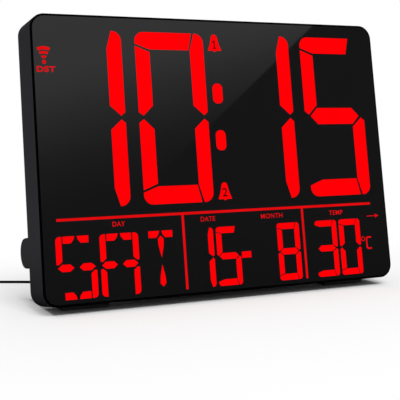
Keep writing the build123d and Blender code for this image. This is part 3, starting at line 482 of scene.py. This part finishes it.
# a flat sign: closed outlines in mm on a frame, cut out of each other, with a little thickness
def flatSign(name, outlines, place, finish, body="case", thickness=0.05):
    curve = bpy.data.curves.new(name, "CURVE")
    curve.dimensions = "2D"
    curve.fill_mode = "BOTH"
    curve.extrude = thickness / 2
    for outline in outlines:
        spline = curve.splines.new("POLY")
        spline.points.add(len(outline) - 1)
        for point, (x, y) in zip(spline.points, outline):
            point.co = (x, y, 0, 1)
        spline.use_cyclic_u = True
    return settle(name, curve, place, finish, body)


def flatWords(name, words, height, place, finish, body="case", thickness=0.05,
              stretch=1.0, bold=0.0, gap=1.0, capitalShare=0.69):
    curve = bpy.data.curves.new(name, "FONT")
    curve.body = words
    curve.size = height / capitalShare
    curve.align_x = "CENTER"
    curve.align_y = "CENTER"
    curve.extrude = thickness / 2
    curve.offset = bold
    curve.space_character = gap
    return settle(name, curve, place @ Matrix.Diagonal((stretch, 1, 1, 1)), finish, body)


# turns a curve into a mesh in its place, and fixes it to its body
def settle(name, curve, place, finish, body):
    maker = bpy.data.objects.new(name + ".maker", curve)
    bpy.context.scene.collection.objects.link(maker)
    bpy.context.view_layer.update()
    mesh = bpy.data.meshes.new_from_object(maker.evaluated_get(bpy.context.evaluated_depsgraph_get()))
    bpy.data.objects.remove(maker)
    mesh.transform(place)
    mesh.materials.clear()
    mesh.materials.append(finishes[finish])
    piece = bpy.data.objects.new(name, mesh)
    bpy.context.scene.collection.objects.link(piece)
    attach(piece, body)
    return piece


# printed and lit legends of the display: mm from the left edge and down from the top
legends = {
    "proud": 0.03,
    "words": [("day", "DAY", 75.3, 198.6, 4.4, 0.94, 0.08), ("date", "DATE", 168.0, 198.7, 4.5, 0.92, 0.06),
              ("month", "MONTH", 239.6, 199.3, 4.6, 0.98, 0.04),
              ("temp", "TEMP", 316.0, 199.8, 4.6, 0.98, 0.04), ("dst", "DST", 13.2, 53.0, 5.0, 1.3, 0.24)],
    "wordGap": 1.1,
    "signal": (11.9, 46.0),
    "signalArcs": [(4.8, 2.3), (9.0, 2.4), (13.2, 3.0)],
    "signalHalf": 26,
    "signalDot": 1.9,
    "dotSweep": (338, 14),
    "arrow": (354.3, 369.4, 205.2),
    "arrowShaft": 0.42,
    "arrowHead": (5.0, 2.2),
    "arrowNotch": 0.88,
    "degree": (347.2, 228.6, 2.5, 0.9),
    "degreeSweep": (348, 24),
    "celsius": (354.0, 233.0, 13.2),
    "celsiusHalf": 3.4,
    "celsiusStroke": 1.65,
    "celsiusCorner": 1.8,
    "celsiusInner": 0.6,
}
proud = legends["proud"]
for key, words, x, y, height, stretch, bold in legends["words"]:
    flatWords("legend_" + key, words, height, faceFrame(x, y, proud), "lineDiffuser",
              stretch=stretch, bold=bold, gap=legends["wordGap"])
signalX, signalY = legends["signal"]
signalFrom, signalTo = 90 - legends["signalHalf"], 90 + legends["signalHalf"]
flatSign("signal_mark",
         [arcBand(0, 0, radius, width, signalFrom, signalTo) for radius, width in legends["signalArcs"]]
         + [arc(0, 0, legends["signalDot"], 0, *legends["dotSweep"])],
         faceFrame(signalX, signalY, proud), "lineDiffuser")

# alarm bells: a dome that flares down to the foot, a low clapper, and a dark number
bells = {
    "places": [("first", 188.8, 23.8), ("second", 188.8, 172.3)],
    "dome": (0, 5.3, 3.4, 0, 180, 14),
    "side": [(4.2, 1.6), (5.2, -2.0), (6.6, -5.4), (7.4, -7.0), (7.2, -7.75)],
    "clapper": (0, -7.0, 1.9, 205, 335, 8),
    "one": [(0.6, 4.1), (-0.5, 4.1), (-2.1, 2.8), (-2.1, 1.7), (-0.6, 2.6), (-0.6, -3.3), (-1.9, -3.3),
            (-1.9, -4.1), (1.9, -4.1), (1.9, -3.3), (0.6, -3.3)],
    "twoHeight": 8.2,
    "twoBold": 0.1,
    "numberDown": 1.6,
    "numberProud": 0.06,
}
bellOutline = (arc(*bells["dome"]) + [(-x, y) for x, y in bells["side"]] + arc(*bells["clapper"])
               + bells["side"][::-1])
for key, x, y in bells["places"]:
    flatSign("bell_" + key, [bellOutline], faceFrame(x, y, proud), "barDiffuser")
    numberPlace = faceFrame(x, y + bells["numberDown"], proud + bells["numberProud"])
    if key == "first":
        flatSign("bell_number_first", [bells["one"]], numberPlace, "maskInkAndRecessShade")
    else:
        flatWords("bell_number_second", "2", bells["twoHeight"], numberPlace, "maskInkAndRecessShade",
                  bold=bells["twoBold"])

# trend arrow, degree ring and the C beside the temperature
arrowFrom, arrowTo, arrowDown = legends["arrow"]
arrowLength = arrowTo - arrowFrom
shaft, (headLong, headHalf) = legends["arrowShaft"], legends["arrowHead"]
neck = arrowLength - headLong * legends["arrowNotch"]
flatSign("warm_arrow",
         [[(0, shaft), (neck, shaft), (arrowLength - headLong, headHalf), (arrowLength, 0),
           (arrowLength - headLong, -headHalf), (neck, -shaft), (0, -shaft)]],
         faceFrame(arrowFrom, arrowDown, proud), "lineDiffuser")
degreeX, degreeY, degreeRadius, degreeWidth = legends["degree"]
flatSign("degree_ring",
         [arc(0, 0, radius, 0, *legends["degreeSweep"])
          for radius in (degreeRadius, degreeRadius - degreeWidth)],
         faceFrame(degreeX, degreeY, proud), "lineDiffuser")
celsiusX, celsiusY, celsiusHeight = legends["celsius"]
side, stroke, corner = legends["celsiusHalf"], legends["celsiusStroke"], legends["celsiusCorner"]
top = celsiusHeight / 2
upperHalf = [(side, top - stroke), (side, top), (corner - side, top), (-side, top - corner)]
lowerHalf = [(x, -y) for x, y in upperHalf[::-1]]
innerCorner = corner * legends["celsiusInner"]
innerHalf = [(stroke - side, innerCorner + stroke - top), (stroke + innerCorner - side, stroke - top)]
flatSign("celsius_mark",
         [upperHalf + lowerHalf + innerHalf[::-1] + [(x, -y) for x, y in innerHalf]],
         faceFrame(celsiusX, celsiusY, proud), "lineDiffuser")
print("legends drawn")

# words over the push buttons, printed on the back cover
buttonWords = {
    "words": {"set": "SET", "up": "UP", "down": "DOWN", "alarm": "ALARM", "dimmer": "DIM"},
    "height": 3.0,
    "above": 9.5,
    "proud": 0.03,
}
for key, words in buttonWords["words"].items():
    low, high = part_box(key + "_button")
    middle = (low + high) / 2
    rise = (middle.dot(upward) - faceBottom) / mm
    flatWords("word_" + key, words, buttonWords["height"],
              backFrame(-middle.x / mm, rise + buttonWords["above"], buttonWords["proud"]), "legendInk")

# the other words and marks of the back, with dark crosses as painted shade for the screw recesses: mm to the
# right of the middle seen from behind, and up
backMarks = {
    "proud": 0.03,
    "words": [("lock", "LOCK", 50.0, 91.2, 2.3), ("open", "OPEN", 65.6, 87.4, 2.3),
              ("dc", "DC IN", 120.0, 33.0, 3.0)],
    "door": (50.0, 74.0, 11.4),
    "doorArrow": [(-1.3, -1.1), (1.3, -1.1), (0, 1.3)],
    "screws": [(x, up) for x in (-183.6, 183.6) for up in (13.5, 167.4, 256.5)],
    "recessShadeLong": 1.75,
    "recessShadeWide": 0.42,
}
for key, words, x, up, height in backMarks["words"]:
    flatWords("word_" + key, words, height, backFrame(x, up, backMarks["proud"]), "legendInk")
doorX, doorUp, doorRadius = backMarks["door"]
flatSign("door_mark", [backMarks["doorArrow"]], backFrame(doorX, doorUp + doorRadius, backMarks["proud"]),
         "legendInk", body="cell_door")
# dark crosses at the screws: painted shade for the cross recesses of the screw heads
long, wide = backMarks["recessShadeLong"], backMarks["recessShadeWide"]
recessShadeOutline = [(wide, wide), (wide, long), (-wide, long), (-wide, wide), (-long, wide), (-long, -wide),
                (-wide, -wide), (-wide, -long), (wide, -long), (wide, -wide), (long, -wide), (long, wide)]
for i, (x, up) in enumerate(backMarks["screws"]):
    flatSign("screw_recess_shade_%d" % i, [recessShadeOutline], backFrame(x, up, backMarks["proud"]), "maskInkAndRecessShade")
print("words and marks of the back printed")

# floor and light: pale floor that throws back less light near the clock, a painted shade that only bounced
# light sees; soft sky, broad key from the front
studio = {
    "floorSize": 12.0,
    "floorColour": "#fbfbfb",
    "nearShadeColour": "#484848",
    "fadeReach": 0.3,
    "fadeCurve": 0.3,
    "footprint": (0.178, 0.045, 1.0),
    "skyStrength": 0.45,
    "keyStrength": 1.75,
    "keyAngle": 28.0,
    "keyFrom": (0.04, -0.7, 1.0),
}
floorMesh = bpy.data.meshes.new("floor")
half = studio["floorSize"] / 2
floorCorners = [(-half, -half, 0), (half, -half, 0), (half, half, 0), (-half, half, 0)]
floorMesh.from_pydata(floorCorners, [], [(0, 1, 2, 3)])
floorMaterial, floorTree = newMaterial("paintedFloor")
floorPlace = addNode(floorTree, "ShaderNodeTexCoord")
floorAway = addNode(floorTree, "ShaderNodeVectorMath", {"operation": "ABSOLUTE"},
                    {0: floorPlace.outputs["Object"]})
floorPast = addNode(floorTree, "ShaderNodeVectorMath", {"operation": "SUBTRACT"},
                    {0: floorAway.outputs["Vector"], 1: studio["footprint"]})
floorOut = addNode(floorTree, "ShaderNodeVectorMath", {"operation": "MAXIMUM"},
                   {0: floorPast.outputs["Vector"], 1: (0, 0, 0)})
floorReach = addNode(floorTree, "ShaderNodeVectorMath", {"operation": "LENGTH"},
                     {0: floorOut.outputs["Vector"]})
floorShare = addNode(floorTree, "ShaderNodeMapRange", None,
                     {"Value": floorReach.outputs["Value"], "From Max": studio["fadeReach"]})
floorFade = addNode(floorTree, "ShaderNodeMath", {"operation": "POWER"},
                    {0: floorShare.outputs["Result"], 1: studio["fadeCurve"]})
floorRays = addNode(floorTree, "ShaderNodeLightPath")
floorPale = addNode(floorTree, "ShaderNodeMath", {"operation": "MAXIMUM"},
                    {0: floorShare.outputs["Result"], 1: floorRays.outputs["Is Camera Ray"]})
# painted shade: near the clock, light bounced off the floor takes the dark near colour; camera rays always
# see the pale floor colour
floorTint = addNode(floorTree, "ShaderNodeMix", {"data_type": "RGBA"})
floorTint.inputs[6].default_value = linear(studio["nearShadeColour"])
floorTint.inputs[7].default_value = linear(studio["floorColour"])
floorTree.links.new(floorPale.outputs[0], floorTint.inputs[0])
floorShader = addNode(floorTree, "ShaderNodeBsdfPrincipled", None,
                      {"Base Color": floorTint.outputs[2], "Roughness": 0.9, "Specular IOR Level": 0.0})
floorSeen = addNode(floorTree, "ShaderNodeMath", {"operation": "MULTIPLY"},
                    {0: floorFade.outputs[0], 1: floorRays.outputs["Is Camera Ray"]})
floorWhite = addNode(floorTree, "ShaderNodeEmission", None, {"Strength": 1.0})
floorMix = addNode(floorTree, "ShaderNodeMixShader", None, {"Fac": floorSeen.outputs[0]})
floorTree.links.new(floorShader.outputs[0], floorMix.inputs[1])
floorTree.links.new(floorWhite.outputs[0], floorMix.inputs[2])
closeMaterial(floorTree, floorMix)
floorMesh.materials.append(floorMaterial)
floorObject = bpy.data.objects.new("floor", floorMesh)
bpy.context.scene.collection.objects.link(floorObject)

world = bpy.data.worlds.new("studioSky")
bpy.context.scene.world = world
world.use_nodes = True
skyTree = world.node_tree
skyTree.nodes.clear()
rays = addNode(skyTree, "ShaderNodeLightPath")
clear = addNode(skyTree, "ShaderNodeMath", {"operation": "MAXIMUM"},
                {0: rays.outputs["Is Camera Ray"], 1: rays.outputs["Is Transmission Ray"]})
seen = addNode(skyTree, "ShaderNodeMath", {"operation": "MAXIMUM"},
               {0: clear.outputs[0], 1: rays.outputs["Is Glossy Ray"]})
level = addNode(skyTree, "ShaderNodeMapRange", None,
                {"Value": seen.outputs[0], "To Min": studio["skyStrength"], "To Max": 1.0})
sky = addNode(skyTree, "ShaderNodeBackground", None,
              {"Color": (1, 1, 1, 1), "Strength": level.outputs["Result"]})
addNode(skyTree, "ShaderNodeOutputWorld", None, {"Surface": sky.outputs[0]})

keyData = bpy.data.lights.new("keyLight", "SUN")
keyData.energy = studio["keyStrength"]
keyData.angle = math.radians(studio["keyAngle"])
keyObject = bpy.data.objects.new("keyLight", keyData)
keyObject.rotation_euler = Vector(studio["keyFrom"]).to_track_quat("Z", "Y").to_euler()
bpy.context.scene.collection.objects.link(keyObject)
bpy.context.scene.view_settings.view_transform = "Standard"
print("floor and light set")

# cards that only the gloss sees: a dark flag, and a soft box with a slanted edge in front of it
cards = {
    "distance": 1.6,
    "flagBehind": 0.05,
    "flag": [(-60, -60), (440, -60), (440, 330), (-60, 330)],
    "left": -60.0,
    "edge": ((324.0, -12.0), (68.0, 196.0)),
    "columns": 14,
    "rows": 24,
    "lean": 0.25,
    "fall": [(-30, 0.69), (60, 0.63), (80, 0.53), (100, 0.36), (125, 0.21), (145, 0.1), (165, 0.05),
             (185, 0.01), (205, 0.0)],
}


# where the mirror image of a face point falls on a plane some way in front of the face
def mirrored(x, y, distance):
    spot = facePoint(x, y)
    eye = Vector(camera["place"])
    eye = eye - facing * 2 * (eye.dot(facing) - faceLevel)
    way = spot - eye
    return eye + way * ((faceLevel + distance - eye.dot(facing)) / way.dot(facing))


# stage pieces that nothing but gloss sees
def glossOnly(piece):
    for ray in ("camera", "diffuse", "shadow", "transmission", "volume_scatter"):
        setattr(piece, "visible_" + ray, False)


# a card made of face points and their glow
def glossCard(name, spots, faces, distance):
    mesh = bpy.data.meshes.new(name)
    mesh.from_pydata([mirrored(x, y, distance) for x, y, glow in spots], [], faces)
    levels = mesh.attributes.new("glow", "FLOAT", "POINT")
    for level, (x, y, glow) in zip(levels.data, spots):
        level.value = glow
    material, tree = newMaterial(name)
    strength = addNode(tree, "ShaderNodeAttribute", {"attribute_name": "glow"})
    shader = addNode(tree, "ShaderNodeEmission", None, {"Strength": strength.outputs["Fac"]})
    closeMaterial(tree, shader)
    mesh.materials.append(material)
    card = bpy.data.objects.new(name, mesh)
    bpy.context.scene.collection.objects.link(card)
    glossOnly(card)


def glowAt(x, y):
    along = y + cards["lean"] * x
    for (first, high), (last, low) in zip(cards["fall"], cards["fall"][1:]):
        if along <= last:
            return high + (low - high) * max(along - first, 0) / (last - first)
    return 0.0


boxSpots = []
boxFaces = []
(edgeRight, edgeTop), (edgeLeft, edgeBottom) = cards["edge"]
rowLength = cards["columns"] + 1
for row in range(cards["rows"] + 1):
    y = edgeTop + (edgeBottom - edgeTop) * row / cards["rows"]
    right = edgeRight + (edgeLeft - edgeRight) * row / cards["rows"]
    for column in range(rowLength):
        x = cards["left"] + (right - cards["left"]) * column / cards["columns"]
        boxSpots.append((x, y, glowAt(x, y)))
        if row and column:
            here = row * rowLength + column
            boxFaces.append((here, here - 1, here - rowLength - 1, here - rowLength))
glossCard("darkFlag", [(x, y, 0.0) for x, y in cards["flag"]], [(0, 1, 2, 3)],
          cards["distance"] + cards["flagBehind"])
glossCard("softBox", boxSpots, boxFaces, cards["distance"])

# black flag behind and to the left, so that the side wall mirrors something dark
wallFlag = {"place": (-0.55, 0.78, 0.5), "faces": (0.436, -0.9, 0.0), "wide": 2.2, "tall": 1.6}
flagMesh = bpy.data.meshes.new("wallFlag")
flagSide = Vector(wallFlag["faces"]).cross(Vector((0, 0, 1))).normalized() * wallFlag["wide"] / 2
flagRise = Vector((0, 0, wallFlag["tall"] / 2))
flagMiddle = Vector(wallFlag["place"])
flagMesh.from_pydata([flagMiddle - flagSide - flagRise, flagMiddle + flagSide - flagRise,
                      flagMiddle + flagSide + flagRise, flagMiddle - flagSide + flagRise], [], [(0, 1, 2, 3)])
flagMesh.materials.append(bpy.data.materials["darkFlag"])
flagObject = bpy.data.objects.new("wallFlag", flagMesh)
bpy.context.scene.collection.objects.link(flagObject)
glossOnly(flagObject)
print("gloss cards set")
